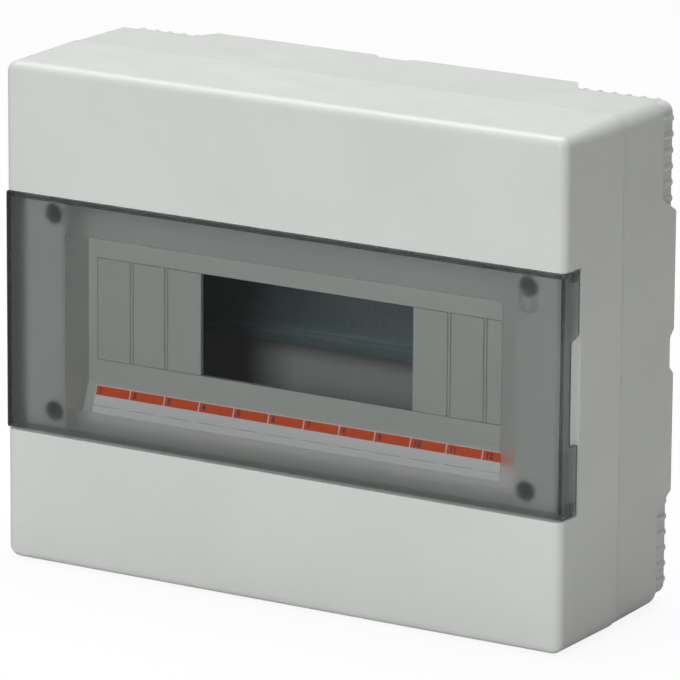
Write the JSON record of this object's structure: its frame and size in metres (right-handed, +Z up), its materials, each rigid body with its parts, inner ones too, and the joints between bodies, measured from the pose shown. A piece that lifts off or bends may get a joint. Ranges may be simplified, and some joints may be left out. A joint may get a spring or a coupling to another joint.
{
  "type": "distribution board enclosure",
  "caption": "Wall-mounted breaker box with smoked hinged door, module window, DIN rail and terminal bars.",
  "frame": {"origin": "centre of the rear face that lies on the wall", "axes": "+X to the right seen from the front, +Y into the wall, +Z up"},
  "size_m": [0.284, 0.098, 0.228],
  "materials": {
    "housing_plastic": "satin",
    "cover_plastic": "satin",
    "smoked_clear": "polished, frosted border",
    "label_card": "matte",
    "blank_plastic": "satin",
    "galvanised_steel": "zinc plated",
    "support_plastic": "matte",
    "screw_steel": "zinc plated",
    "cover_screw_steel": "zinc plated",
    "washer_nylon": "matte",
    "green_plastic": "satin",
    "blue_plastic": "satin",
    "terminal_brass": "machined"
  },
  "bodies": {
    "box": {"back_box": "housing_plastic", "front_cover": "cover_plastic", "circuit_label": "label_card", "left_blanking_strip": "blank_plastic", "right_blanking_strip": "blank_plastic", "din_rail": "galvanised_steel", "right_rail_support": "support_plastic", "left_rail_support": "support_plastic", "left_rail_screw": "screw_steel", "right_rail_screw": "screw_steel", "top_left_cover_screw": "cover_screw_steel", "top_left_screw_washer": "washer_nylon", "top_right_cover_screw": "cover_screw_steel", "top_right_screw_washer": "washer_nylon", "bottom_left_cover_screw": "cover_screw_steel", "bottom_left_screw_washer": "washer_nylon", "bottom_right_cover_screw": "cover_screw_steel", "bottom_right_screw_washer": "washer_nylon", "earth_terminal_carrier": "green_plastic", "earth_terminal_bar": "terminal_brass", "earth_terminal_screws": "screw_steel", "earth_carrier_screws": "screw_steel", "neutral_terminal_carrier": "blue_plastic", "neutral_terminal_bar": "terminal_brass", "neutral_terminal_screws": "screw_steel", "neutral_carrier_screws": "screw_steel"},
    "door": {"door": "smoked_clear"}
  },
  "joints": [
    {"name": "door_hinge", "type": "hinge", "parent": "box", "child": "door", "pos_m": [-0.13891, -0.0868, 0.0005], "axis": [0, 0, -1], "range_deg": [0, 100]}
  ]
}
